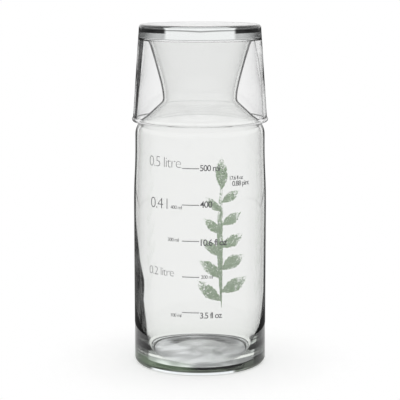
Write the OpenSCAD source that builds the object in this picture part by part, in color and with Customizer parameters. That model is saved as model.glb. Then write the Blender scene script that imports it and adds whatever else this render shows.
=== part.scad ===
// Bedside carafe with a tumbler that stands upside down over its neck as a lid.
// Millimetres, +Z up, origin at the centre of the ring that the carafe stands on.
// The graduated side faces -Y, the leaf print is on the far side.

/* [Carafe body] */
// Outer diameter of the straight part of the body
body_d = 81; // [70:0.5:110]
// Wall of the body, shoulder and neck
wall_t = 2.1; // [1.4:0.1:2.4]
// Height of the straight part, from the table up
straight_h = 94; // [70:1:140]
// Height over which the wall eases in under the shoulder
easing_h = 47.5; // [30:0.5:70]
// How far the wall eases in there, on each side
easing_in = 1.1; // [0.2:0.1:2]

/* [Carafe base] */
// Radius of the rounded heel
heel_r = 3; // [2:0.1:6]
// Width of the flat ring that the carafe stands on
ring_w = 3.2; // [1.5:0.1:6]
// Depth of the hollow under the base
punt_depth = 3.4; // [1:0.1:5]
// Thickness of the glass at the edge of the inner floor
base_t = 3.4; // [2.6:0.1:8]
// Thickness of the glass in the middle of the base, above the hollow
mid_t = 3; // [2.4:0.1:6]
// Height over which the thick heel runs out into the wall
heel_inner_h = 36; // [20:0.5:45]
// Width of the rounding between the wall and the inner floor
heel_inner_w = 9; // [5:0.5:12]

/* [Shoulder and neck] */
// Radius of the rounding from the wall into the shoulder
shoulder_r = 11; // [6:0.5:18]
// Slope of the shoulder above the horizontal, in degrees
shoulder_slope = 42; // [30:1:55]
// Outer diameter of the waist, the narrowest part of the neck
waist_d = 45; // [38:0.2:56]
// Radius of the hollow rounding from the shoulder into the waist
waist_r = 4; // [2.5:0.1:8]
// Height of the neck, from the waist to the mouth
neck_h = 36.4; // [28:0.2:60]
// Outer diameter of the mouth
mouth_d = 63.4; // [58:0.2:68]
// Flare of the neck at the mouth, in degrees from the vertical
mouth_flare = 18; // [8:1:30]
// Width of the flat land on top of the fire-polished rim
rim_land = 0.6; // [0.3:0.1:1]

/* [Tumbler] */
// Thickness of the tumbler's solid base
foot_t = 8.2; // [5:0.1:14]
// Radius of the corner between the base and the wall
foot_r = 2.1; // [0.8:0.1:3]
// Wall of the tumbler beside its inner floor
thick_wall = 3.2; // [2.6:0.1:5]
// Wall of the tumbler above the thick part
thin_wall = 2; // [1.4:0.1:2.4]
// Height over which the thick wall runs out, from the inner floor
thick_h = 34; // [15:1:38]
// Radius of the rounding round the inner floor
floor_r = 1.8; // [0.8:0.1:3]
// Room round the mouth of the carafe on the flat of the inner floor
mouth_gap = 0.2; // [0.1:0.05:2]
// How far the beaded lip stands out beyond the body of the carafe
lip_over = 0.9; // [0.5:0.1:3]
// Height of the lip above the foot of the shoulder
lip_up = 7.9; // [6:0.1:12]
// Bulge of the bead outside the wall
bead_out = 0.5; // [0.2:0.1:1]
// Height of the bead
bead_h = 3; // [2:0.1:5]

/* [Graduation] */
// Number of graduation lines
line_count = 5; // [1:1:5]
// Height of the lowest line above the table
line_low_z = 39; // [30:0.1:50]
// Capacity between two lines, in millilitres
line_step_ml = 100; // [50:5:100]
// Length of a line
line_l = 10.4; // [4:0.1:20]
// Distance of the lines' middle to the left of the centre
line_off = 5.6; // [0:0.1:15]
// Thickness of a line, from edge to edge
line_w = 0.5; // [0.3:0.05:1.5]

/* [Leaf print] */
// Height of the lower end of the stem above the table
stem_low_z = 24; // [15:1:50]
// Length of the stem
stem_l = 88; // [60:1:105]
// Width of the stem at its middle
stem_w = 4; // [1:0.1:6]
// Number of pairs of leaves
leaf_pairs = 5; // [2:1:7]
// Length of the longest leaf
leaf_l = 21; // [10:0.5:26]
// Width of the longest leaf
leaf_w = 8; // [3:0.1:10]
// Angle between a leaf and the stem, in degrees
leaf_angle = 52; // [30:1:70]
// Distance of the stem to the right of the centre, as seen from the front
leaf_off = 14.5; // [0:0.5:20]

/* [Hidden] */
$fn = 96;

// Thickness of the fired-on enamel
enamel_t = 0.15;
// Points on each rounded stretch
arc_steps = 8;
curve_steps = 14;
easing_steps = 6;
leaf_steps = 8;
// Reach of the bodies that trim the print, past the glass
overrun = 5;
// Part of the glass that the leaf print may cover, on both sides of its middle
print_half_angle = 50;
print_turn = 25;
// One millilitre in cubic millimetres
ml = 1000;

// Shares of a curve's height or width at which its control points stand
punt_share = 0.5;
easing_share = 0.55;
neck_low_share = 0.34;
neck_high_share = 0.36;
heel_share = 0.56;
thick_low_share = 0.45;
thick_high_share = 0.3;
bead_share = 0.25;
// Length of the topmost leaf against the lowest one
top_leaf_share = 0.6;
// Part of the leaf at the tip that stands past the stem
tip_leaf_share = 0.5;
// Places of the left and the right leaf of a pair, as shares of the step between pairs
leaf_place_shares = [0.3, 0.7];

body_r = body_d / 2;
ring_out_r = body_r - heel_r;
ring_in_r = ring_out_r - ring_w;
shoulder_top_r = body_r - easing_in;
shoulder_z = straight_h + easing_h;
slope_out_r = shoulder_top_r - shoulder_r * (1 - sin(shoulder_slope));
slope_out_z = shoulder_z + shoulder_r * cos(shoulder_slope);
slope_in_r = waist_d / 2 + waist_r * (1 - sin(shoulder_slope));
slope_in_z = slope_out_z + (slope_out_r - slope_in_r) * tan(shoulder_slope);
waist_z = slope_in_z + waist_r * cos(shoulder_slope);
carafe_h = waist_z + neck_h;
rim_r = (wall_t - rim_land) / 2;
floor_edge_r = body_r - wall_t - heel_inner_w;
heel_inner_z = base_t + heel_inner_h;
tumbler_top_z = carafe_h + foot_t;
lip_z = shoulder_z + lip_up;
tumbler_h = tumbler_top_z - lip_z;
lip_out_r = body_r + lip_over;
floor_wall_r = mouth_d / 2 + mouth_gap + floor_r;
foot_out_r = floor_wall_r + thick_wall;

// Points on a cubic curve through a and d, with b and c as its handles
function curve(a, b, c, d, steps) = [
    for (i = [0 : steps])
        let (t = i / steps, s = 1 - t)
            a * s * s * s + b * 3 * s * s * t + c * 3 * s * t * t + d * t * t * t
];

// Points on an arc about c, from one angle to another
function arc(c, r, from, to) = [
    for (i = [0 : arc_steps])
        let (a = from + (to - from) * i / arc_steps)
            c + r * [cos(a), sin(a)]
];

// All points of a path but the first one
function rest_of(path) = [for (i = [1 : len(path) - 1]) path[i]];

function reversed(path) = [for (i = [len(path) - 1 : -1 : 0]) path[i]];

// Unit vector to the left of the path at point i
function left_of(path, i) =
    let (d = path[min(i + 1, len(path) - 1)] - path[max(i - 1, 0)])
        [-d.y, d.x] / norm(d);

// The path moved to its left by a distance
function moved_left(path, w) = [for (i = [0 : len(path) - 1]) path[i] + w * left_of(path, i)];

// Outer wall from the straight part up to the mouth, at a depth w inside the glass
function wall_line(w) = concat(
    [[body_r - w, straight_h]],
    rest_of(moved_left(easing_line(), w)),
    rest_of(arc([shoulder_top_r - shoulder_r, shoulder_z], shoulder_r - w, 0, 90 - shoulder_slope)),
    arc([waist_d / 2 + waist_r, waist_z], waist_r + w, 270 - shoulder_slope, 180),
    rest_of(moved_left(neck_line(), w))
);

function easing_line() = curve(
    [body_r, straight_h],
    [body_r, straight_h + easing_h * easing_share],
    [shoulder_top_r, shoulder_z - easing_h * easing_share],
    [shoulder_top_r, shoulder_z],
    easing_steps
);

// Neck from the waist to the foot of the rounded rim
function neck_line() =
    let (
        top = [mouth_d / 2, carafe_h - rim_r],
        flare = [sin(mouth_flare), cos(mouth_flare)]
    )
        curve(
            [waist_d / 2, waist_z],
            [waist_d / 2, waist_z + neck_h * neck_low_share],
            top - flare * neck_h * neck_high_share,
            top,
            curve_steps
        );

// Underside of the base, from the axis out to the standing ring
function punt_line() = curve(
    [0, punt_depth],
    [ring_in_r * punt_share, punt_depth],
    [ring_in_r * (1 - punt_share), 0],
    [ring_in_r, 0],
    curve_steps
);

// Inner floor from the axis out, and the thick heel up to the wall
function floor_line() = concat(
    curve(
        [0, punt_depth + mid_t],
        [floor_edge_r * punt_share, punt_depth + mid_t],
        [floor_edge_r * (1 - punt_share), base_t],
        [floor_edge_r, base_t],
        curve_steps
    ),
    rest_of(curve(
        [floor_edge_r, base_t],
        [floor_edge_r + heel_inner_w * heel_share, base_t],
        [body_r - wall_t, heel_inner_z - heel_inner_h * heel_share],
        [body_r - wall_t, heel_inner_z],
        curve_steps
    ))
);

// Rounded rim with its flat land, from the outside of the mouth to the inside
function rim_line() = concat(
    arc([mouth_d / 2 - rim_r, carafe_h - rim_r], rim_r, 0, 90),
    arc([mouth_d / 2 - wall_t + rim_r, carafe_h - rim_r], rim_r, 90, 180)
);

outer_line = wall_line(0);
inner_line = wall_line(wall_t);
last_inner = len(inner_line) - 2;

// Outer radius of the glass at a height, on the very line that the wall is drawn with
wall_table = concat([[0, body_r]], [for (p = outer_line) [p.y, p.x]]);
function glass_r(z) = lookup(z, wall_table);

// Heights of the graduation lines, from the bore of the body
line_pitch = line_step_ml * ml / (PI * pow(body_r - wall_t, 2));

module carafe() {
    color([0.86, 0.92, 0.9, 0.35])
        rotate_extrude()
            polygon(concat(
                punt_line(),
                [[ring_out_r, 0]],
                rest_of(arc([ring_out_r, heel_r], heel_r, -90, 0)),
                outer_line,
                rest_of(rim_line()),
                [for (i = [last_inner : -1 : 0]) inner_line[i]],
                reversed(floor_line())
            ));
}

// The tumbler's section, drawn the way it stands on its foot
module tumbler_section() {
    wall_slope = (lip_out_r - bead_out - foot_out_r) / tumbler_h;
    lip_r = (thin_wall + bead_out) / 2;
    bead_z = tumbler_h - bead_h;
    bead_r = foot_out_r + wall_slope * bead_z;
    thick_z = foot_t + thick_h;
    thin_r = foot_out_r + wall_slope * thick_z - thin_wall;
    floor_z = foot_t + floor_r;
    polygon(concat(
        [[0, 0]],
        arc([foot_out_r - foot_r, foot_r], foot_r, -90, -atan(wall_slope)),
        curve(
            [bead_r, bead_z],
            [bead_r + wall_slope * bead_h * bead_share, bead_z + bead_h * bead_share],
            [lip_out_r, tumbler_h - lip_r - bead_h * bead_share],
            [lip_out_r, tumbler_h - lip_r],
            arc_steps
        ),
        rest_of(arc([lip_out_r - lip_r, tumbler_h - lip_r], lip_r, 0, 180)),
        curve(
            [thin_r, thick_z],
            [thin_r - wall_slope * thick_h * thick_high_share, thick_z - thick_h * thick_high_share],
            [floor_wall_r, floor_z + thick_h * thick_low_share],
            [floor_wall_r, floor_z],
            curve_steps
        ),
        rest_of(arc([floor_wall_r - floor_r, floor_z], floor_r, 0, -90)),
        [[0, foot_t]]
    ));
}

module tumbler() {
    color([0.88, 0.92, 0.93, 0.35])
        translate([0, 0, tumbler_top_z])
            mirror([0, 0, 1])
                rotate_extrude()
                    tumbler_section();
}

// A skin of enamel on the outside of the glass, between two heights and over the
// given angle on both sides of the front or, turned by half a turn, of the back
module enamel_skin(low_z, high_z, half_angle, turn) {
    heights = concat([low_z], [for (p = outer_line) if (p.y > low_z && p.y < high_z) p.y], [high_z]);
    rotate([0, 0, turn - 90 - half_angle])
        rotate_extrude(angle = 2 * half_angle)
            polygon(concat(
                [for (z = heights) [glass_r(z), z]],
                [for (z = reversed(heights)) [glass_r(z) + enamel_t, z]]
            ));
}

module scale_lines() {
    half_angle = asin(line_l / 2 / body_r);
    turn = -asin(line_off / body_r);
    color([0.45, 0.46, 0.47])
        for (i = [0 : line_count - 1]) {
            line_z = line_low_z + i * line_pitch;
            enamel_skin(line_z - line_w / 2, line_z + line_w / 2, half_angle, turn);
        }
}

// A pointed leaf that grows from the origin along +Y
module leaf(length, width) {
    side = [for (i = [0 : leaf_steps]) [width / 2 * sin(180 * i / leaf_steps), length * i / leaf_steps]];
    polygon(concat(side, [for (i = [leaf_steps - 1 : -1 : 1]) [-side[i].x, side[i].y]]));
}

// The sprig laid out flat, with its stem along +Y
module sprig() {
    leaf(stem_l, stem_w);
    translate([0, stem_l - leaf_l * (1 - tip_leaf_share)])
        leaf(leaf_l, leaf_w);
    for (i = [0 : leaf_pairs - 1], side = [-1, 1]) {
        step = stem_l / (leaf_pairs + 1);
        grown_share = 1 - (1 - top_leaf_share) * i / leaf_pairs;
        translate([0, step * (i + leaf_place_shares[(side + 1) / 2])])
            rotate([0, 0, side * leaf_angle])
                leaf(leaf_l * grown_share, leaf_w * grown_share);
    }
}

module leaf_print() {
    color([0.52, 0.65, 0.5])
        intersection() {
            enamel_skin(stem_low_z, stem_low_z + stem_l + leaf_l, print_half_angle, 180 - print_turn);
            translate([leaf_off, body_r + overrun, stem_low_z])
                rotate([90, 0, 0])
                    linear_extrude(height = body_r + overrun)
                        sprig();
        }
}

carafe();
tumbler();
scale_lines();
leaf_print();
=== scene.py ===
import math
import random
import bpy
import bmesh
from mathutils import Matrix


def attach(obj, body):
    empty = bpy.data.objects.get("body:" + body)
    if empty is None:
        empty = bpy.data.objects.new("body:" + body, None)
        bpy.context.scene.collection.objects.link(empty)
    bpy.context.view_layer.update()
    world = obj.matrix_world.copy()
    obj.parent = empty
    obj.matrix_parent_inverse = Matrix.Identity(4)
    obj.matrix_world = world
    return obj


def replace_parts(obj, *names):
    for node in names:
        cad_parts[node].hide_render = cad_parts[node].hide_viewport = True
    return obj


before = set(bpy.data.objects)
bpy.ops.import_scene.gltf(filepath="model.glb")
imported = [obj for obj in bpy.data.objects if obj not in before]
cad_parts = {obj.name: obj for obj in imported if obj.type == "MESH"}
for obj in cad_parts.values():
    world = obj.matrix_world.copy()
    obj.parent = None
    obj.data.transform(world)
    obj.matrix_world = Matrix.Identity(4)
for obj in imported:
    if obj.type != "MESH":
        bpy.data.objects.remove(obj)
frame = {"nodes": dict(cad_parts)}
print("frame loaded:", ", ".join(frame["nodes"]))
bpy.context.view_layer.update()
mm = 0.001


# Camera, at the place and height from which the photograph was taken
cameraSettings = {
    "distance": 0.9005,
    "height": 0.2458,
    "tiltDown": 9.17,  # degrees
    "lens": 133.6,
    "sensor": 36.0,
    "near": 0.01,
    "far": 50,
}


def addCamera():
    data = bpy.data.cameras.new("camera")
    data.lens = cameraSettings["lens"]
    data.sensor_width = cameraSettings["sensor"]
    data.clip_start = cameraSettings["near"]
    data.clip_end = cameraSettings["far"]
    camera = bpy.data.objects.new("camera", data)
    camera.location = (0, -cameraSettings["distance"], cameraSettings["height"])
    camera.rotation_euler = (math.radians(90 - cameraSettings["tiltDown"]), 0, 0)
    bpy.context.collection.objects.link(camera)
    bpy.context.scene.camera = camera


addCamera()
print("camera set")


# Small helpers for paths, all in millimetres as (radius, height)
def curvePath(a, b, c, d, steps):
    points = []
    for i in range(steps + 1):
        t = i / steps
        s = 1 - t
        weights = (s**3, 3 * s * s * t, 3 * s * t * t, t**3)
        points.append(tuple(sum(w * p[k] for w, p in zip(weights, (a, b, c, d))) for k in (0, 1)))
    return points


def arcPath(centre, radius, start, end, steps):
    points = []
    for i in range(steps + 1):
        angle = math.radians(start + (end - start) * i / steps)
        points.append((centre[0] + radius * math.cos(angle), centre[1] + radius * math.sin(angle)))
    return points


def movedLeft(path, width):
    moved = []
    for i, p in enumerate(path):
        a = path[max(i - 1, 0)]
        b = path[min(i + 1, len(path) - 1)]
        dr, dz = b[0] - a[0], b[1] - a[1]
        length = math.hypot(dr, dz)
        moved.append((p[0] - width * dz / length, p[1] + width * dr / length))
    return moved


def linePath(a, b, steps):
    return [(a[0] + (b[0] - a[0]) * i / steps, a[1] + (b[1] - a[1]) * i / steps) for i in range(steps + 1)]


spinSettings = {
    "turnSteps": 160,
    "weld": 1e-7,
}


def spinGlass(name, path):
    bm = bmesh.new()
    verts = [bm.verts.new((r * mm, 0, z * mm)) for r, z in path]
    edges = [bm.edges.new(pair) for pair in zip(verts, verts[1:])]
    bmesh.ops.spin(
        bm,
        geom=verts + edges,
        cent=(0, 0, 0),
        axis=(0, 0, 1),
        dvec=(0, 0, 0),
        angle=math.tau,
        steps=spinSettings["turnSteps"],
        use_merge=True,
        use_duplicate=False,
    )
    bmesh.ops.remove_doubles(bm, verts=bm.verts, dist=spinSettings["weld"])
    bmesh.ops.recalc_face_normals(bm, faces=bm.faces)
    mesh = bpy.data.meshes.new(name)
    for face in bm.faces:
        face.smooth = True
    bm.to_mesh(mesh)
    bm.free()
    piece = bpy.data.objects.new(name, mesh)
    bpy.context.collection.objects.link(piece)
    return piece


carafeSizes = {
    "bodyRadius": 40.5,
    "wall": 2.1,
    "straightHeight": 94,
    "easingHeight": 47.5,
    "easingIn": 1.1,
    "heelRadius": 3.0,
    "ringWidth": 3.2,
    "puntDepth": 3.4,
    "baseThickness": 3.4,
    "middleThickness": 3.0,
    "heelInnerHeight": 36,
    "heelInnerWidth": 9,
    "shoulderRadius": 11,
    "shoulderSlope": 42,
    "waistRadius": 22.5,
    "waistRounding": 4,
    "neckHeight": 36.4,
    "mouthRadius": 31.7,
    "mouthFlare": 18,
    "rimLand": 0.6,
    "restGap": 0.02,  # keeps the mouth and the tumbler's floor out of one plane
    # How strongly each curve is pulled, as shares of its height or width
    "easingPull": 0.55,
    "waistPull": 0.34,
    "mouthPull": 0.36,
    "puntPull": 0.5,
    "heelPull": 0.56,
}


def carafePaths(s):
    slope = math.radians(s["shoulderSlope"])
    shoulderTop = s["bodyRadius"] - s["easingIn"]
    shoulderZ = s["straightHeight"] + s["easingHeight"]
    slopeOut = (
        shoulderTop - s["shoulderRadius"] * (1 - math.sin(slope)),
        shoulderZ + s["shoulderRadius"] * math.cos(slope),
    )
    slopeInR = s["waistRadius"] + s["waistRounding"] * (1 - math.sin(slope))
    slopeInZ = slopeOut[1] + (slopeOut[0] - slopeInR) * math.tan(slope)
    waistZ = slopeInZ + s["waistRounding"] * math.cos(slope)
    mouthZ = waistZ + s["neckHeight"]
    rimRadius = (s["wall"] - s["rimLand"]) / 2
    easing = curvePath(
        (s["bodyRadius"], s["straightHeight"]),
        (s["bodyRadius"], s["straightHeight"] + s["easingHeight"] * s["easingPull"]),
        (shoulderTop, shoulderZ - s["easingHeight"] * s["easingPull"]),
        (shoulderTop, shoulderZ),
        steps=24,
    )
    neckTop = (s["mouthRadius"], mouthZ - rimRadius)
    flare = math.radians(s["mouthFlare"])
    flareLength = s["neckHeight"] * s["mouthPull"]
    neck = curvePath(
        (s["waistRadius"], waistZ),
        (s["waistRadius"], waistZ + s["neckHeight"] * s["waistPull"]),
        (neckTop[0] - math.sin(flare) * flareLength, neckTop[1] - math.cos(flare) * flareLength),
        neckTop,
        steps=36,
    )

    # The wall from the body to the mouth, this deep under the outer surface
    def wallPath(depth):
        path = movedLeft(easing, depth)
        path += arcPath(
            (shoulderTop - s["shoulderRadius"], shoulderZ),
            s["shoulderRadius"] - depth,
            0,
            90 - s["shoulderSlope"],
            steps=20,
        )[1:]
        path += arcPath(
            (s["waistRadius"] + s["waistRounding"], waistZ),
            s["waistRounding"] + depth,
            270 - s["shoulderSlope"],
            180,
            steps=16,
        )
        path += movedLeft(neck, depth)[1:]
        return path

    return {"mouthZ": mouthZ, "shoulderZ": shoulderZ, "rimRadius": rimRadius, "wallPath": wallPath}


def carafePath(s):
    made = carafePaths(s)
    body, wall = s["bodyRadius"], s["wall"]
    mouthZ, rim = made["mouthZ"] - s["restGap"], made["rimRadius"]
    ringOut = body - s["heelRadius"]
    ringIn = ringOut - s["ringWidth"]
    floorEdge = body - wall - s["heelInnerWidth"]
    heelTop = s["baseThickness"] + s["heelInnerHeight"]
    outer, inner = made["wallPath"](0), made["wallPath"](wall)
    path = curvePath(
        (0, s["puntDepth"]),
        (ringIn * s["puntPull"], s["puntDepth"]),
        (ringIn * s["puntPull"], 0),
        (ringIn, 0),
        steps=30,
    )
    path += linePath((ringIn, 0), (ringOut, 0), steps=3)[1:]
    path += arcPath((ringOut, s["heelRadius"]), s["heelRadius"], -90, 0, steps=14)[1:]
    path += linePath((body, s["heelRadius"]), (body, s["straightHeight"]), steps=24)[1:]
    path += outer[1:]
    path += arcPath((s["mouthRadius"] - rim, mouthZ - rim), rim, 0, 90, steps=8)[1:]
    path += arcPath((s["mouthRadius"] - wall + rim, mouthZ - rim), rim, 90, 180, steps=8)
    path += inner[-2:0:-1]
    path += linePath((body - wall, s["straightHeight"]), (body - wall, heelTop), steps=20)
    heel = curvePath(
        (floorEdge, s["baseThickness"]),
        (floorEdge + s["heelInnerWidth"] * s["heelPull"], s["baseThickness"]),
        (body - wall, heelTop - s["heelInnerHeight"] * s["heelPull"]),
        (body - wall, heelTop),
        steps=30,
    )
    path += heel[-2::-1]
    domeZ = s["puntDepth"] + s["middleThickness"]
    dome = curvePath(
        (0, domeZ),
        (floorEdge * s["puntPull"], domeZ),
        (floorEdge * s["puntPull"], s["baseThickness"]),
        (floorEdge, s["baseThickness"]),
        steps=24,
    )
    path += dome[-2::-1]
    return path


tumblerSizes = {
    "footThickness": 8.2,
    "footRounding": 2.1,
    "thickWall": 3.2,
    "thinWall": 2,
    "thickHeight": 34,
    "floorRounding": 1.8,
    "mouthGap": 0.2,
    "lipOver": 0.9,
    "lipUp": 7.9,
    "beadOut": 0.5,
    "beadHeight": 3,
    "inside": 0.015,  # keeps the round lip within the box of the drawing
    # How strongly each curve is pulled, as shares of its height
    "beadPull": 0.25,
    "thinPull": 0.3,
    "floorPull": 0.45,
}


# Drawn standing on its foot, and turned over at the end
def tumblerPath(t, s):
    made = carafePaths(s)
    topZ = made["mouthZ"] + t["footThickness"] - t["inside"]
    height = topZ - made["shoulderZ"] - t["lipUp"]
    lipOut = s["bodyRadius"] + t["lipOver"] - t["inside"]
    floorWall = s["mouthRadius"] + t["mouthGap"] + t["floorRounding"]
    footOut = floorWall + t["thickWall"]
    slope = (lipOut - t["beadOut"] - footOut) / height
    lip = (t["thinWall"] + t["beadOut"]) / 2
    beadZ = height - t["beadHeight"]
    beadR = footOut + slope * beadZ
    beadEase = t["beadHeight"] * t["beadPull"]
    thickZ = t["footThickness"] + t["thickHeight"]
    thinR = footOut + slope * thickZ - t["thinWall"]
    thinEase = t["thickHeight"] * t["thinPull"]
    floorZ = t["footThickness"] + t["floorRounding"]
    footFlat, floorFlat = footOut - t["footRounding"], floorWall - t["floorRounding"]
    lean = math.degrees(math.atan(slope))
    path = linePath((0, 0), (footFlat, 0), steps=12)
    path += arcPath((footFlat, t["footRounding"]), t["footRounding"], -90, -lean, steps=10)[1:]
    path += linePath(path[-1], (beadR, beadZ), steps=20)[1:]
    path += curvePath(
        (beadR, beadZ),
        (beadR + slope * beadEase, beadZ + beadEase),
        (lipOut, height - lip - beadEase),
        (lipOut, height - lip),
        steps=8,
    )[1:]
    path += arcPath((lipOut - lip, height - lip), lip, 0, 180, steps=20)[1:]
    path += linePath((lipOut - 2 * lip, height - lip), (thinR, thickZ), steps=10)[1:]
    path += curvePath(
        (thinR, thickZ),
        (thinR - slope * thinEase, thickZ - thinEase),
        (floorWall, floorZ + t["thickHeight"] * t["floorPull"]),
        (floorWall, floorZ),
        steps=24,
    )[1:]
    path += arcPath((floorFlat, floorZ), t["floorRounding"], 0, -90, steps=10)[1:]
    path += linePath((floorFlat, t["footThickness"]), (0, t["footThickness"]), steps=12)[1:]
    return [(r, topZ - z) for r, z in path]


# Small helpers for materials. A value is a number, a colour or the output of a node
def feed(tree, socket, value):
    if isinstance(value, bpy.types.NodeSocket):
        tree.links.new(value, socket)
    else:
        socket.default_value = value


def solid(colour):
    return (*colour, 1)


def shaderMath(tree, operation, *values, clamp=False):
    node = tree.nodes.new("ShaderNodeMath")
    node.operation = operation
    node.use_clamp = clamp
    for socket, value in zip(node.inputs, values):
        feed(tree, socket, value)
    return node.outputs[0]


def times(tree, value, *others):
    for other in others:
        value = shaderMath(tree, "MULTIPLY", value, other)
    return value


def oneMinus(tree, value):
    return shaderMath(tree, "SUBTRACT", 1.0, value)


# Goes softly from the first level to the second across the span
def softStep(tree, value, span, levels=(0.0, 1.0)):
    node = tree.nodes.new("ShaderNodeMapRange")
    node.interpolation_type = "SMOOTHSTEP"
    for name, number in zip(("From Min", "From Max", "To Min", "To Max"), (*span, *levels)):
        node.inputs[name].default_value = number
    tree.links.new(value, node.inputs["Value"])
    return node.outputs[0]


def band(tree, value, span, soft):
    low, high = span
    rise = softStep(tree, value, (low - soft, low + soft))
    fall = softStep(tree, value, (high - soft, high + soft), (1.0, 0.0))
    return times(tree, rise, fall)


def separate(tree, vector):
    node = tree.nodes.new("ShaderNodeSeparateXYZ")
    tree.links.new(vector, node.inputs["Vector"])
    return node.outputs


def stretched(tree, vector, up):
    node = tree.nodes.new("ShaderNodeVectorMath")
    node.operation = "MULTIPLY"
    node.inputs[1].default_value = (1, 1, up)
    tree.links.new(vector, node.inputs[0])
    return node.outputs["Vector"]


def addNoise(tree, vector, scale, detail):
    node = tree.nodes.new("ShaderNodeTexNoise")
    feed(tree, node.inputs["Scale"], scale)
    node.inputs["Detail"].default_value = detail
    tree.links.new(vector, node.inputs["Vector"])
    return node


def mixColours(tree, share, first, second):
    node = tree.nodes.new("ShaderNodeMix")
    node.data_type = "RGBA"
    tree.links.new(share, node.inputs["Factor"])
    feed(tree, node.inputs["A"], first)
    feed(tree, node.inputs["B"], second)
    return node.outputs["Result"]


def mixShaders(tree, share, first, second):
    node = tree.nodes.new("ShaderNodeMixShader")
    tree.links.new(share, node.inputs["Fac"])
    tree.links.new(first, node.inputs[1])
    tree.links.new(second, node.inputs[2])
    return node.outputs["Shader"]


# A curve through points of height in millimetres and value
def curveOver(tree, height, points):
    low, high = points[0][0] * mm, points[-1][0] * mm
    node = tree.nodes.new("ShaderNodeFloatCurve")
    curve = node.mapping.curves[0]
    places = [((z * mm - low) / (high - low), value) for z, value in points]
    curve.points[0].location = places[0]
    curve.points[1].location = places[-1]
    for place in places[1:-1]:
        curve.points.new(*place)
    for point in curve.points:
        point.handle_type = "VECTOR"
    node.mapping.update()
    along = shaderMath(tree, "DIVIDE", shaderMath(tree, "SUBTRACT", height, low), high - low, clamp=True)
    tree.links.new(along, node.inputs["Value"])
    return node.outputs[0]


def newMaterial(name):
    material = bpy.data.materials.new(name)
    material.use_nodes = True
    return material, material.node_tree


# What the painted dark edges of both glasses have in common, with places and heights in metres
edgeSettings = {
    "facingBlend": 0.5,
    "leastUpright": 0.2,  # flatter glass than this has no edge round the axis
    "sideChange": (-0.012, 0.012),
    "streakScale": 420.0,
    "streakStretch": 0.12,
    "streakDetail": 1.0,
    "streakSpan": (0.35, 0.65),
    "streakDepth": 0.14,
    "bottomSpan": (0.002, 0.018),
    "bottomLevels": (0.6, 1.0),
}


# Dark cards beside an object show in its glass where that turns away. Here the material paints that shade into
# the glass colour instead
def paintedEdgeShade(tree, place, path, edges):
    x, height = separate(tree, place)["X"], separate(tree, place)["Z"]
    # How far the glass has turned away from the eye, round its axis only
    weight = tree.nodes.new("ShaderNodeLayerWeight")
    weight.inputs["Blend"].default_value = edgeSettings["facingBlend"]
    geometry = tree.nodes.new("ShaderNodeNewGeometry")
    normalUp = separate(tree, geometry.outputs["Normal"])["Z"]
    upright = shaderMath(tree, "SQRT", oneMinus(tree, shaderMath(tree, "POWER", normalUp, 2.0)))
    upright = shaderMath(tree, "MAXIMUM", upright, edgeSettings["leastUpright"])
    away = oneMinus(tree, shaderMath(tree, "DIVIDE", oneMinus(tree, weight.outputs["Facing"]), upright))

    # On either side the painted dark starts and ends at its own turn of the glass
    side = softStep(tree, x, edgeSettings["sideChange"])
    left = curveOver(tree, height, edges["left"])
    right = curveOver(tree, height, edges["right"])
    start = shaderMath(tree, "MULTIPLY_ADD", side, shaderMath(tree, "SUBTRACT", right, left), left)
    end = shaderMath(tree, "SUBTRACT", shaderMath(tree, "ADD", right, edges["rightWidth"]), edges["leftEnd"])
    end = shaderMath(tree, "MULTIPLY_ADD", side, end, edges["leftEnd"])
    soft = (-edges["soft"], edges["soft"])
    begun = softStep(tree, shaderMath(tree, "SUBTRACT", away, start), soft)
    lasting = softStep(tree, shaderMath(tree, "SUBTRACT", away, end), soft, (1.0, 0.0))

    # The painted dark is streaked up the glass and paler near the bottom
    streaks = addNoise(
        tree,
        stretched(tree, place, edgeSettings["streakStretch"]),
        edgeSettings["streakScale"],
        edgeSettings["streakDetail"],
    )
    streakLevels = (edges["share"], edges["share"] - edgeSettings["streakDepth"])
    share = softStep(tree, streaks.outputs["Fac"], edgeSettings["streakSpan"], streakLevels)
    bottom = softStep(tree, height, edgeSettings["bottomSpan"], edgeSettings["bottomLevels"])
    sideShare = shaderMath(tree, "MULTIPLY_ADD", side, edges["rightShare"] - 1.0, 1.0)
    dark = times(tree, begun, lasting, times(tree, share, bottom, sideShare))

    byCamera = path.outputs["Is Camera Ray"]
    if "foot" in edges:
        foot = paintedFootShade(tree, away, upright, height, edges["foot"])
        return times(tree, shaderMath(tree, "MAXIMUM", dark, foot), byCamera)
    # Behind the wall of the tumbler only the neck counts
    second = shaderMath(tree, "COMPARE", path.outputs["Transmission Depth"], 2.0, 0.5)
    second = times(tree, second, softStep(tree, height, edges["neckFrom"]))
    return times(tree, dark, shaderMath(tree, "MAXIMUM", byCamera, second))


# Painted shade on the solid foot of the tumbler: a dark bar round its top and a paler strip below it
def paintedFootShade(tree, away, upright, height, foot):
    turned = times(tree, softStep(tree, away, foot["away"]), softStep(tree, upright, foot["upright"]))
    bar = softStep(tree, height, foot["barRise"])
    bar = times(tree, bar, softStep(tree, height, foot["barFade"], foot["barLevels"]))
    strip = band(tree, height, foot["strip"], foot["stripSoft"])
    strip = times(tree, strip, softStep(tree, away, foot["stripAway"], foot["stripLevels"]))
    return times(tree, turned, shaderMath(tree, "ADD", bar, strip))


# Painted light: the lowest rounding of the base glows white where light from the table would show, and the
# thick glass above it glows green
def paintedHeelGlow(tree, place, path, heel):
    x, height = separate(tree, place)["X"], separate(tree, place)["Z"]
    strip = band(tree, height, heel["strip"], heel["stripSoft"])
    strip = times(tree, strip, band(tree, x, heel["stripAcross"], heel["stripEnds"]))
    green = band(tree, height, heel["thick"], heel["thickSoft"])
    green = times(tree, green, band(tree, x, heel["thickAcross"], heel["thickEnds"]))
    black = solid((0, 0, 0))
    light = mixColours(tree, green, black, solid(heel["green"]))
    light = mixColours(tree, strip, light, solid(heel["white"]))
    return mixColours(tree, path.outputs["Is Camera Ray"], black, light)


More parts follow.
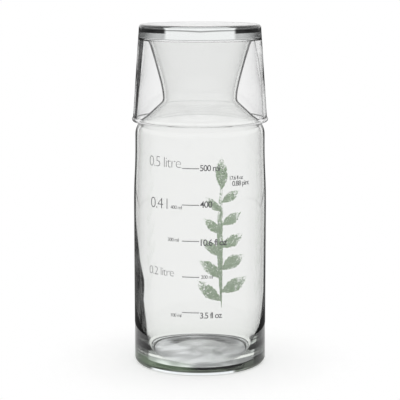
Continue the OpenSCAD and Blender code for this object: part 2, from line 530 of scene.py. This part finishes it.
def glassMaterial(name, look):
    material, tree = newMaterial(name)
    nodes, links = tree.nodes, tree.links
    nodes.clear()
    out = nodes.new("ShaderNodeOutputMaterial")
    glass = nodes.new("ShaderNodeBsdfPrincipled")
    glass.inputs["Roughness"].default_value = look["roughness"]
    glass.inputs["IOR"].default_value = look["ior"]
    glass.inputs["Transmission Weight"].default_value = 1.0
    place = nodes.new("ShaderNodeTexCoord").outputs["Object"]
    path = nodes.new("ShaderNodeLightPath")
    waves = nodes.new("ShaderNodeGroup")
    waves.node_tree = glassWaves
    waves.inputs["Scale"].default_value = look["waveScale"]
    links.new(place, waves.inputs["Vector"])
    bump = nodes.new("ShaderNodeBump")
    bump.inputs["Strength"].default_value = 1.0
    bump.inputs["Distance"].default_value = look["waveDepth"] * mm
    links.new(waves.outputs["Height"], bump.inputs["Height"])
    links.new(bump.outputs["Normal"], glass.inputs["Normal"])
    # Glass lets through the root of its colour, so the light left at the painted dark edges is squared
    light = shaderMath(tree, "POWER", oneMinus(tree, paintedEdgeShade(tree, place, path, look["edges"])), 2.0)
    links.new(mixColours(tree, light, solid((0, 0, 0)), solid(look["surface"])), glass.inputs["Base Color"])
    # Painted glow at the heel, given as emission of the glass
    if "heel" in look:
        links.new(paintedHeelGlow(tree, place, path, look["heel"]), glass.inputs["Emission Color"])
        glass.inputs["Emission Strength"].default_value = 1.0
    # Light that casts the shadow goes straight through, a little weaker
    clear = nodes.new("ShaderNodeBsdfTransparent")
    clear.inputs["Color"].default_value = solid(look["shadow"])
    whole = mixShaders(tree, path.outputs["Is Shadow Ray"], glass.outputs["BSDF"], clear.outputs["BSDF"])
    links.new(whole, out.inputs["Surface"])
    volume = nodes.new("ShaderNodeVolumeAbsorption")
    volume.inputs["Color"].default_value = solid(look["depthTint"])
    volume.inputs["Density"].default_value = look["density"]
    links.new(volume.outputs["Volume"], out.inputs["Volume"])
    return material


waveSettings = {
    "stretch": 0.4,  # waves run up the wall, as it was drawn
    "roughness": 0.4,
    "detail": 1.0,
    "lumpScale": 110.0,
    "lumpSpan": (0.005, 0.014),
    "lumpLevels": (3.0, 0.0),
}


def makeWaves():
    group = bpy.data.node_groups.new("glassWaves", "ShaderNodeTree")
    group.interface.new_socket("Vector", in_out="INPUT", socket_type="NodeSocketVector")
    group.interface.new_socket("Scale", in_out="INPUT", socket_type="NodeSocketFloat")
    group.interface.new_socket("Height", in_out="OUTPUT", socket_type="NodeSocketFloat")
    start = group.nodes.new("NodeGroupInput")
    end = group.nodes.new("NodeGroupOutput")
    place = start.outputs["Vector"]
    drawn = stretched(group, place, waveSettings["stretch"])
    noise = addNoise(group, drawn, start.outputs["Scale"], waveSettings["detail"])
    noise.inputs["Roughness"].default_value = waveSettings["roughness"]
    # The base is less even than the wall
    lumps = addNoise(group, place, waveSettings["lumpScale"], waveSettings["detail"])
    low = softStep(group, separate(group, place)["Z"], waveSettings["lumpSpan"], waveSettings["lumpLevels"])
    height = shaderMath(group, "MULTIPLY_ADD", lumps.outputs["Fac"], low, noise.outputs["Fac"])
    group.links.new(height, end.inputs["Height"])
    return group


glassWaves = makeWaves()
carafeLook = {
    "surface": (1.0, 1.0, 1.0),
    "roughness": 0.0,
    "ior": 1.5,
    "waveScale": 45.0,
    "waveDepth": 0.03,
    "shadow": (0.965, 0.98, 0.97),
    "depthTint": (0.35, 0.5, 0.28),
    "density": 13.0,
    "edges": {
        # Height in millimetres, and how far the glass has turned away there when the painted dark starts
        "left": [
            (14, 0.41),
            (30, 0.455),
            (43, 0.51),
            (50, 0.49),
            (55, 0.49),
            (60, 0.535),
            (66, 0.6),
            (75, 0.655),
            (90, 0.76),
            (140, 0.78),
            (150, 0.7),
            (200, 0.72),
        ],
        "right": [(10, 0.46), (22, 0.55), (28, 0.62), (46, 0.76), (140, 0.8), (150, 0.7), (200, 0.72)],
        "soft": 0.02,
        "leftEnd": 1.5,
        "rightWidth": 1.5,
        "share": 0.97,
        "rightShare": 1.0,
        "neckFrom": (0.142, 0.147),
    },
    # Painted glow in the base: a white strip at the bottom and green above it
    "heel": {
        "strip": (0.0001, 0.0021),
        "stripSoft": 0.0003,
        "stripAcross": (-0.029, 0.0205),
        "stripEnds": 0.0015,
        "white": (0.78, 0.8, 0.83),
        "thick": (0.0032, 0.0085),
        "thickSoft": 0.0015,
        "thickAcross": (-0.037, -0.006),
        "thickEnds": 0.006,
        "green": (0.085, 0.12, 0.075),
    },
}
tumblerLook = {
    "surface": (1.0, 1.0, 1.0),
    "roughness": 0.0,
    "ior": 1.5,
    "waveScale": 40.0,
    "waveDepth": 0.02,
    "shadow": (0.965, 0.975, 0.975),
    "depthTint": (0.8, 0.85, 0.84),
    "density": 7.0,
    "edges": {
        "left": [(146, 0.68), (163, 0.652), (175, 0.625), (188, 0.6), (199.9, 0.576), (200.4, 0.8), (208, 0.8)],
        "right": [(146, 0.66), (175, 0.675), (188, 0.6), (199.9, 0.5), (200.4, 0.95), (208, 0.95)],
        "soft": 0.015,
        "leftEnd": 0.79,
        "rightWidth": 0.025,
        "share": 0.97,
        "rightShare": 0.6,
        "foot": {
            "away": (0.155, 0.195),
            "upright": (0.55, 0.75),
            "barRise": (0.2034, 0.2038),
            "barFade": (0.2055, 0.2063),
            "barLevels": (0.98, 0.88),
            "strip": (0.2004, 0.2036),
            "stripSoft": 0.0002,
            "stripAway": (0.25, 0.65),
            "stripLevels": (0.42, 0.82),
        },
    },
}

carafe = spinGlass("carafe_glass", carafePath(carafeSizes))
carafe.data.materials.append(glassMaterial("clearGlass", carafeLook))
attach(carafe, "carafe")
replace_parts(carafe, "carafe")

tumbler = spinGlass("tumbler_glass", tumblerPath(tumblerSizes, carafeSizes))
tumbler.data.materials.append(glassMaterial("tumblerGlass", tumblerLook))
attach(tumbler, "tumbler")
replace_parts(tumbler, "tumbler")
print("glass made")


# Enamel print on the outside of the carafe. It is drawn flat and then laid on the glass
printSettings = {
    "lift": 0.02,
    "thickness": 0.05,
    "cutAcross": 1.0,  # a flat print is cut this fine before it is bent
    "cutUp": 3.0,
    "cutWeld": 1e-5,
    "textWeld": 1e-4,
    "textSteps": 3,
    "textSpacing": 0.86,
}
outerWall = [(carafeSizes["bodyRadius"], 0.0)] + carafePaths(carafeSizes)["wallPath"](0)


def glassRadius(z):
    for (lowR, lowZ), (highR, highZ) in zip(outerWall, outerWall[1:]):
        if lowZ <= z < highZ:
            return lowR + (highR - lowR) * (z - lowZ) / (highZ - lowZ)
    return outerWall[-1][0]


def cutFlat(bm):
    for axis, step in ((0, printSettings["cutAcross"]), (1, printSettings["cutUp"])):
        places = [vert.co[axis] for vert in bm.verts]
        normal = (1, 0, 0) if axis == 0 else (0, 1, 0)
        for i in range(math.ceil(min(places) / step), math.floor(max(places) / step) + 1):
            bmesh.ops.bisect_plane(
                bm,
                geom=bm.verts[:] + bm.edges[:] + bm.faces[:],
                plane_co=tuple(step * i * n for n in normal),
                plane_no=normal,
                dist=printSettings["cutWeld"],
            )


def layOnFront(bm, lift):
    # Across the flat print is the way round the glass
    for vert in bm.verts:
        x, z = vert.co.x, vert.co.y
        radius = glassRadius(z) + lift
        angle = x / carafeSizes["bodyRadius"]
        vert.co = (radius * math.sin(angle) * mm, -radius * math.cos(angle) * mm, z * mm)


def layOnBack(bm, lift):
    # The print is drawn as it shows through the glass from the front
    for vert in bm.verts:
        x, z = vert.co.x, vert.co.y
        radius = glassRadius(z) + lift
        vert.co = (x * mm, math.sqrt(radius * radius - x * x) * mm, z * mm)


def finishPrint(name, bm, material):
    raised = bmesh.ops.extrude_face_region(bm, geom=bm.faces[:], use_keep_orig=True)["geom"]
    for vert in raised:
        if isinstance(vert, bmesh.types.BMVert):
            radius = math.hypot(vert.co.x, vert.co.y)
            grown = 1 + printSettings["thickness"] * mm / radius
            vert.co = (vert.co.x * grown, vert.co.y * grown, vert.co.z)
    bmesh.ops.recalc_face_normals(bm, faces=bm.faces)
    mesh = bpy.data.meshes.new(name)
    bm.to_mesh(mesh)
    bm.free()
    mesh.materials.append(material)
    piece = bpy.data.objects.new(name, mesh)
    bpy.context.collection.objects.link(piece)
    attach(piece, "carafe")
    return piece


wearSettings = {
    "broadScale": 160.0,
    "fineScale": 1400.0,
    "detail": 2.0,
    "thinSpan": (0.85, 1.35),
    "roughness": 0.34,
    "thinRoughness": 0.2,  # more where the enamel is thin
}


def makeEnamelWear():
    group = bpy.data.node_groups.new("enamelWear", "ShaderNodeTree")
    group.interface.new_socket("Vector", in_out="INPUT", socket_type="NodeSocketVector")
    group.interface.new_socket("Full", in_out="INPUT", socket_type="NodeSocketColor")
    group.interface.new_socket("Thin", in_out="INPUT", socket_type="NodeSocketColor")
    group.interface.new_socket("Colour", in_out="OUTPUT", socket_type="NodeSocketColor")
    group.interface.new_socket("Roughness", in_out="OUTPUT", socket_type="NodeSocketFloat")
    start = group.nodes.new("NodeGroupInput")
    end = group.nodes.new("NodeGroupOutput")
    broad = addNoise(group, start.outputs["Vector"], wearSettings["broadScale"], wearSettings["detail"])
    fine = addNoise(group, start.outputs["Vector"], wearSettings["fineScale"], wearSettings["detail"])
    both = shaderMath(group, "ADD", broad.outputs["Fac"], fine.outputs["Fac"])
    thin = softStep(group, both, wearSettings["thinSpan"])
    colour = mixColours(group, thin, start.outputs["Full"], start.outputs["Thin"])
    rough = shaderMath(group, "MULTIPLY_ADD", thin, wearSettings["thinRoughness"], wearSettings["roughness"])
    group.links.new(colour, end.inputs["Colour"])
    group.links.new(rough, end.inputs["Roughness"])
    return group


enamelWear = makeEnamelWear()


def addWear(tree, place, full, thin):
    wear = tree.nodes.new("ShaderNodeGroup")
    wear.node_tree = enamelWear
    wear.inputs["Full"].default_value = solid(full)
    wear.inputs["Thin"].default_value = solid(thin)
    tree.links.new(place, wear.inputs["Vector"])
    return wear


def enamelMaterial(name, full, thin):
    material, tree = newMaterial(name)
    shader = tree.nodes["Principled BSDF"]
    wear = addWear(tree, tree.nodes.new("ShaderNodeTexCoord").outputs["Object"], full, thin)
    tree.links.new(wear.outputs["Colour"], shader.inputs["Base Color"])
    tree.links.new(wear.outputs["Roughness"], shader.inputs["Roughness"])
    return material


scaleSettings = {
    "lineLength": 10.4,
    "lineWidth": 0.5,
    "lineMiddle": -5.65,
    "lineSteps": 12,
    "lines": 5,
    "lowestLine": 39.0,
    "stepCapacity": 100,  # millilitres between two lines
    "full": (0.1, 0.1, 0.105),
    "thin": (0.17, 0.17, 0.18),
    "paleFull": (0.2, 0.2, 0.205),
    "paleThin": (0.3, 0.3, 0.31),
}
bore = carafeSizes["bodyRadius"] - carafeSizes["wall"]
linePitch = scaleSettings["stepCapacity"] * 1000 / (math.pi * bore * bore)
lineHeights = [scaleSettings["lowestLine"] + i * linePitch for i in range(scaleSettings["lines"])]
greyEnamel = enamelMaterial("greyEnamel", scaleSettings["full"], scaleSettings["thin"])
paleEnamel = enamelMaterial("paleEnamel", scaleSettings["paleFull"], scaleSettings["paleThin"])

lines = bmesh.new()
for height in lineHeights:
    made = bmesh.ops.create_grid(lines, x_segments=scaleSettings["lineSteps"], y_segments=1, size=0.5)
    for vert in made["verts"]:
        vert.co.x = scaleSettings["lineMiddle"] + vert.co.x * scaleSettings["lineLength"]
        vert.co.y = height + vert.co.y * scaleSettings["lineWidth"]
layOnFront(lines, printSettings["lift"])
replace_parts(finishPrint("scale_print", lines, paleEnamel), "scale_lines")

# Each label has its line counted from the lowest, its start from the front's middle, its place above
# the line, the height of its numerals and how much thinner than the typeface its strokes are
labelFields = ("words", "line", "left", "up", "high", "slim", "pale")
labels = {
    "label_500_left": ("0.5 litre", 4, -34.5, 0.1, 6.2, 0.022, True),
    "label_500_right": ("500 ml", 4, 0.0, -1.4, 3.6, -0.006, False),
    "label_500_ounces": ("17.6 fl oz", 4, 18.5, -7.2, 2.3, -0.006, False),
    "label_500_pints": ("0.88 pint", 4, 20.0, -10.9, 3.0, -0.004, False),
    "label_400_left": ("0.4 l", 3, -32.5, -3.0, 6.4, 0.018, False),
    "label_400_small": ("400 ml", 3, -18.0, -2.6, 2.1, 0.0, False),
    "label_400_right": ("400", 3, 0.0, -1.4, 3.8, -0.006, False),
    "label_300_small": ("300 ml", 2, -19.8, -0.5, 2.1, -0.004, False),
    "label_300_right": ("10.6 fl oz", 2, 0.4, -2.6, 3.9, -0.006, False),
    "label_200_left": ("0.2 litre", 1, -34.0, -0.2, 4.9, 0.02, True),
    "label_200_small": ("200 ml", 1, 0.6, -0.9, 2.1, 0.0, False),
    "label_100_small": ("100 ml", 0, -17.8, -3.0, 2.1, -0.004, False),
    "label_100_right": ("3.5 fl oz", 0, 0.0, -3.4, 3.6, -0.006, False),
}


def makeLabel(name, label):
    curve = bpy.data.curves.new(name, "FONT")
    curve.body = label["words"]
    curve.resolution_u = printSettings["textSteps"]
    curve.offset = -label["slim"]
    curve.space_character = printSettings["textSpacing"]
    holder = bpy.data.objects.new(name, curve)
    bpy.context.collection.objects.link(holder)
    bpy.context.view_layer.update()
    flat = bpy.data.meshes.new_from_object(holder.evaluated_get(bpy.context.evaluated_depsgraph_get()))
    bpy.data.objects.remove(holder)
    bm = bmesh.new()
    bm.from_mesh(flat)
    bmesh.ops.remove_doubles(bm, verts=bm.verts, dist=printSettings["textWeld"])
    top = max(vert.co.y for vert in bm.verts)
    start = min(vert.co.x for vert in bm.verts)
    scale = label["high"] / top
    for vert in bm.verts:
        vert.co.x = label["left"] + (vert.co.x - start) * scale
        vert.co.y = lineHeights[label["line"]] + label["up"] + vert.co.y * scale
    cutFlat(bm)
    layOnFront(bm, printSettings["lift"])
    return finishPrint(name, bm, paleEnamel if label["pale"] else greyEnamel)


for name, values in labels.items():
    makeLabel(name, dict(zip(labelFields, values)))
print("scale made")


# Sprig painted with a dry brush on the back of the carafe
sprigSettings = {
    "foot": (14.5, 24.0),
    "stemLength": 88.0,
    "stemWidth": 4.0,
    "leafPairs": 5,
    "leafLength": 21.0,
    "leafWidth": 8.0,
    "leafAngle": 52.0,  # degrees
    "topLeaf": 0.6,
    "tipLeaf": 0.5,
    "pairPlaces": (0.3, 0.7),
    "lapLift": 0.06,  # leaves lie over the stem
    "seed": 7,
    "full": (0.52, 0.7, 0.45),
    "thin": (0.73, 0.88, 0.67),
}

# One stroke of the brush. Across it runs from 0 to 1, and so it does along
brushSettings = {
    "stepsAcross": 10,
    "stepsAlong": 36,
    "ragged": 0.07,
    "bend": 0.04,
    "fullness": 0.8,
    "bluntEnd": 0.06,
    "endWave": 0.012,
    "endTurns": 9,
    "apart": 2,  # from one stroke to the next along the second axis of the map
    "bristles": 16.0,
    "runs": 5.0,
    "streakDetail": 3.0,
    "streakShare": 0.9,
    "grainScale": 750.0,
    "grainDetail": 2.0,
    "grainShare": 0.7,
    "dryEnd": (0.45, 1.0),
    "dryLevels": (0.62, 0.86),
    "sideSpan": (0.3, 0.5),
    "sideLevels": (0.0, 0.1),
    "inkSpan": (-0.03, 0.03),
    "fullInk": (0.0, 0.2),
    "spotScale": 1500.0,
    "spotDetail": 1.0,
    "spotSpan": (0.64, 0.68),
}


def brushMaterial():
    b = brushSettings
    material, tree = newMaterial("brushedEnamel")
    shader = tree.nodes["Principled BSDF"]
    coords = tree.nodes.new("ShaderNodeTexCoord")
    place = coords.outputs["Object"]
    stroke = separate(tree, coords.outputs["UV"])
    along = shaderMath(tree, "MODULO", stroke["Y"], float(b["apart"]))
    # Bristles leave streaks along the stroke, and the glass shows through where they run dry
    brushed = tree.nodes.new("ShaderNodeCombineXYZ")
    tree.links.new(times(tree, stroke["X"], b["bristles"]), brushed.inputs["X"])
    tree.links.new(times(tree, stroke["Y"], b["runs"]), brushed.inputs["Y"])
    streaks = addNoise(tree, brushed.outputs["Vector"], 1.0, b["streakDetail"])
    grain = addNoise(tree, place, b["grainScale"], b["grainDetail"])
    cover = times(tree, streaks.outputs["Fac"], b["streakShare"])
    cover = shaderMath(tree, "ADD", cover, times(tree, grain.outputs["Fac"], b["grainShare"]))
    dry = softStep(tree, along, b["dryEnd"], b["dryLevels"])
    fromMiddle = shaderMath(tree, "ABSOLUTE", shaderMath(tree, "SUBTRACT", stroke["X"], 0.5))
    dry = shaderMath(tree, "ADD", dry, softStep(tree, fromMiddle, b["sideSpan"], b["sideLevels"]))
    ink = shaderMath(tree, "SUBTRACT", cover, dry)
    # Small bare spots all over, as the screen leaves them
    spots = addNoise(tree, place, b["spotScale"], b["spotDetail"])
    bare = softStep(tree, spots.outputs["Fac"], b["spotSpan"], (1.0, 0.0))
    tree.links.new(times(tree, softStep(tree, ink, b["inkSpan"]), bare), shader.inputs["Alpha"])
    wear = addWear(tree, place, sprigSettings["full"], sprigSettings["thin"])
    full = softStep(tree, ink, b["fullInk"])
    colour = mixColours(tree, full, solid(sprigSettings["thin"]), wear.outputs["Colour"])
    tree.links.new(colour, shader.inputs["Base Color"])
    tree.links.new(wear.outputs["Roughness"], shader.inputs["Roughness"])
    return material


def addStroke(bm, uvLayer, foot, length, width, angle, number, chance):
    b = brushSettings
    made = bmesh.ops.create_grid(
        bm, x_segments=b["stepsAcross"], y_segments=b["stepsAlong"], size=0.5, calc_uvs=True
    )
    turn = math.radians(angle)
    bend = chance.uniform(-b["bend"], b["bend"]) * length
    phase = chance.uniform(0, math.tau)
    rows = {}
    for vert in made["verts"]:
        across, along = vert.co.x * 2, vert.co.y + 0.5
        row = round(along * b["stepsAlong"])
        if row not in rows:
            rows[row] = (chance.gauss(0, b["ragged"]), chance.gauss(0, b["ragged"]))
        side = rows[row][0] if across < 0 else rows[row][1]
        half = width / 2 * max(math.sin(math.pi * along) ** b["fullness"], b["bluntEnd"])
        half *= 1 + side * abs(across)
        x = across * half + bend * math.sin(math.pi * along)
        y = along * length * (1 - b["endWave"] * math.sin(b["endTurns"] * across + phase))
        vert.co.x = foot[0] + x * math.cos(turn) - y * math.sin(turn)
        vert.co.y = foot[1] + x * math.sin(turn) + y * math.cos(turn)
    faces = {face for vert in made["verts"] for face in vert.link_faces}
    for face in faces:
        for loop in face.loops:
            loop[uvLayer].uv.y += b["apart"] * number


def makeSprig():
    s = sprigSettings
    chance = random.Random(s["seed"])
    green = brushMaterial()
    footX, footZ = s["foot"]
    stem = bmesh.new()
    uvLayer = stem.loops.layers.uv.new("brush")
    addStroke(stem, uvLayer, s["foot"], s["stemLength"], s["stemWidth"], 0, 0, chance)
    layOnBack(stem, printSettings["lift"])
    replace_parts(finishPrint("sprig_stem", stem, green), "leaf_print")
    leaves = bmesh.new()
    uvLayer = leaves.loops.layers.uv.new("brush")
    tipFoot = (footX, footZ + s["stemLength"] - s["leafLength"] * (1 - s["tipLeaf"]))
    addStroke(leaves, uvLayer, tipFoot, s["leafLength"], s["leafWidth"], 0, 1, chance)
    step = s["stemLength"] / (s["leafPairs"] + 1)
    number = 2
    for i in range(s["leafPairs"]):
        grown = 1 - (1 - s["topLeaf"]) * i / s["leafPairs"]
        length, width = s["leafLength"] * grown, s["leafWidth"] * grown
        for side, place in zip((1, -1), s["pairPlaces"]):
            foot = (footX, footZ + step * (i + place))
            addStroke(leaves, uvLayer, foot, length, width, side * s["leafAngle"], number, chance)
            number += 1
    layOnBack(leaves, printSettings["lift"] + s["lapLift"])
    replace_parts(finishPrint("sprig_leaves", leaves, green), "leaf_print")


makeSprig()
print("sprig made")


floorSettings = {
    "radius": 0.11,
    "segments": 96,
    "blend": 0.045,  # over this width it goes over into plain light
    "colour": (0.9, 0.9, 0.9),
    "cameraGlow": 0.27,
    "plainLight": 0.9,
    "cameraMore": 0.1,
    # Soft cloudy painted light on the table under the base, darker on the right, that shows through the base
    "cloudEdge": (0.0378, 0.0388),
    "cloudScale": 42.0,
    "cloudDetail": 1.5,
    "cloudDistortion": 1.2,
    "cloudColour": (0.96, 0.97, 1.0),
    "cloudSpan": (0.36, 0.64),
    "cloudLevels": (0.42, 0.86),
    "sideSpan": (-0.01, 0.015),
    "sideLevels": (1.0, 0.8),
}


def addFloor():
    s = floorSettings
    bm = bmesh.new()
    bmesh.ops.create_circle(bm, cap_ends=True, segments=s["segments"], radius=s["radius"])
    mesh = bpy.data.meshes.new("floor")
    bm.to_mesh(mesh)
    bm.free()
    floor = bpy.data.objects.new("floor", mesh)
    bpy.context.collection.objects.link(floor)
    material, tree = newMaterial("floor")
    nodes, links = tree.nodes, tree.links
    nodes.clear()
    out = nodes.new("ShaderNodeOutputMaterial")
    path = nodes.new("ShaderNodeLightPath")
    byCamera = path.outputs["Is Camera Ray"]
    place = nodes.new("ShaderNodeTexCoord").outputs["Object"]
    length = nodes.new("ShaderNodeVectorMath")
    length.operation = "LENGTH"
    links.new(place, length.inputs[0])
    fromMiddle = length.outputs["Value"]
    # The table near the object takes its shadow, and farther out it is plain light
    diffuse = nodes.new("ShaderNodeBsdfDiffuse")
    diffuse.inputs["Color"].default_value = solid(s["colour"])
    glow = nodes.new("ShaderNodeEmission")
    links.new(times(tree, byCamera, s["cameraGlow"]), glow.inputs["Strength"])
    near = nodes.new("ShaderNodeAddShader")
    links.new(diffuse.outputs[0], near.inputs[0])
    links.new(glow.outputs[0], near.inputs[1])
    far = nodes.new("ShaderNodeEmission")
    farLight = shaderMath(tree, "MULTIPLY_ADD", byCamera, s["cameraMore"], s["plainLight"])
    links.new(farLight, far.inputs["Strength"])
    away = softStep(tree, fromMiddle, (s["radius"] - s["blend"], s["radius"]))
    table = mixShaders(tree, away, near.outputs[0], far.outputs[0])
    # Through glass there is the painted cloudy light under the base, darker on the right, and past it the pale
    # studio
    clouds = addNoise(tree, place, s["cloudScale"], s["cloudDetail"])
    clouds.inputs["Distortion"].default_value = s["cloudDistortion"]
    light = softStep(tree, clouds.outputs["Fac"], s["cloudSpan"], s["cloudLevels"])
    # Painted shade: the cloudy light is dimmer on the right
    light = times(tree, light, softStep(tree, separate(tree, place)["X"], s["sideSpan"], s["sideLevels"]))
    under = nodes.new("ShaderNodeEmission")
    under.inputs["Color"].default_value = solid(s["cloudColour"])
    links.new(light, under.inputs["Strength"])
    clear = nodes.new("ShaderNodeBsdfTransparent")
    seen = mixShaders(tree, softStep(tree, fromMiddle, s["cloudEdge"]), under.outputs[0], clear.outputs[0])
    links.new(mixShaders(tree, path.outputs["Is Transmission Ray"], table, seen), out.inputs["Surface"])
    floor.data.materials.append(material)


# The studio round the object, with angles in degrees
worldSettings = {
    "lampLevel": 0.85,
    "straightLevel": 0.94,
    "turnedLoss": 0.7,
    "sector": 45.0,  # front, back and sides are alike, so an angle is counted from the nearest of them
    "wallTwice": 0.27,  # how much narrower the angles are behind two walls
    "tablePower": 1.3,
    "tableCurve": 0.0125,
    "tableDown": 7.42,
    "tableHalf": 0.12,
    "tableSoft": 0.1,
    "tableDark": 0.68,
    "fadedRise": (-0.5, -0.1),
    "fadedDark": 0.85,
    "sunkFall": (-5, -3),
    "sunkAcross": (18, 26),
    "sunkLevels": (0.15, 0.9),
    "backFrom": (-0.1, 0.2),
    "frontMirrored": 0.34,
    "backMirrored": 0.1,
    "aheadFrom": (0.75, 0.85),
    "aheadRise": (-0.5, 1.5),
    "skyRise": (8, 14),
    "skyLevel": 0.97,
}


def addWorld():
    s = worldSettings
    world = bpy.data.worlds.new("studio")
    bpy.context.scene.world = world
    world.use_nodes = True
    tree = world.node_tree
    nodes, links = tree.nodes, tree.links
    nodes.clear()
    out = nodes.new("ShaderNodeOutputWorld")
    background = nodes.new("ShaderNodeBackground")
    background.inputs["Color"].default_value = solid((1, 1, 1))
    links.new(background.outputs["Background"], out.inputs["Surface"])
    to = separate(tree, nodes.new("ShaderNodeTexCoord").outputs["Generated"])
    path = nodes.new("ShaderNodeLightPath").outputs
    degrees = 180 / math.pi

    # Two crossings, or two more than a whole wall and back, mean that a ray left along an edge
    depth = path["Transmission Depth"]
    edge = shaderMath(tree, "COMPARE", shaderMath(tree, "MODULO", depth, 4.0), 2.0, 0.5)
    walls = shaderMath(tree, "COMPARE", depth, 6.0, 0.5)
    turned = shaderMath(tree, "GREATER_THAN", path["Glossy Depth"], 0.5)
    often = shaderMath(tree, "GREATER_THAN", path["Glossy Depth"], 1.5)

    azimuth = times(tree, shaderMath(tree, "ARCTAN2", to["X"], to["Y"]), degrees)
    azimuth = shaderMath(tree, "WRAP", azimuth, s["sector"], -s["sector"])
    azimuth = times(tree, azimuth, shaderMath(tree, "MULTIPLY_ADD", walls, -s["wallTwice"], 1.0))
    across = shaderMath(tree, "ABSOLUTE", azimuth)
    elevation = times(tree, shaderMath(tree, "ARCSINE", to["Z"]), degrees)

    # The far edge of the table is a thin curved line
    table = times(tree, shaderMath(tree, "POWER", across, s["tablePower"]), s["tableCurve"])
    table = shaderMath(tree, "ADD", table, shaderMath(tree, "ADD", elevation, s["tableDown"]))
    table = band(tree, table, (-s["tableHalf"], s["tableHalf"]), s["tableSoft"])
    # Light that was mirrored inside the glass again and again has grown weak
    faded = times(tree, softStep(tree, elevation, s["fadedRise"]), s["fadedDark"])
    sunk = softStep(tree, elevation, s["sunkFall"], (1.0, 0.0))
    sunk = times(tree, sunk, softStep(tree, across, s["sunkAcross"], s["sunkLevels"]))
    faded = times(tree, often, shaderMath(tree, "MAXIMUM", faded, sunk))
    dark = shaderMath(tree, "MAXIMUM", times(tree, table, s["tableDark"]), faded)
    straight = shaderMath(tree, "MULTIPLY_ADD", turned, -s["turnedLoss"], s["straightLevel"])
    straight = times(tree, straight, shaderMath(tree, "MULTIPLY_ADD", often, -s["turnedLoss"], 1.0))
    behind = times(tree, edge, oneMinus(tree, dark))
    behind = shaderMath(tree, "ADD", behind, times(tree, oneMinus(tree, edge), straight))

    # The front is mirrored brighter than the backdrop, and the sky starts lower straight behind
    back = softStep(tree, to["Y"], s["backFrom"])
    backChange = s["backMirrored"] - s["frontMirrored"]
    mirrored = shaderMath(tree, "MULTIPLY_ADD", back, backChange, s["frontMirrored"])
    ahead = times(tree, softStep(tree, to["Y"], s["aheadFrom"]), softStep(tree, elevation, s["aheadRise"]))
    sky = shaderMath(tree, "MAXIMUM", ahead, softStep(tree, elevation, s["skyRise"]))
    mirrored = shaderMath(tree, "MAXIMUM", mirrored, times(tree, sky, s["skyLevel"]))

    byCamera, through, glossy = path["Is Camera Ray"], path["Is Transmission Ray"], path["Is Glossy Ray"]
    reflected = shaderMath(tree, "SUBTRACT", glossy, through, clamp=True)
    value = shaderMath(tree, "ADD", times(tree, through, behind), times(tree, reflected, mirrored))
    value = shaderMath(tree, "ADD", value, byCamera)
    seen = shaderMath(tree, "MAXIMUM", shaderMath(tree, "MAXIMUM", byCamera, through), glossy)
    lamp = times(tree, oneMinus(tree, seen), s["lampLevel"])
    links.new(shaderMath(tree, "ADD", value, lamp), background.inputs["Strength"])


addFloor()
addWorld()
bpy.context.scene.view_settings.view_transform = "Standard"
print("stage set")
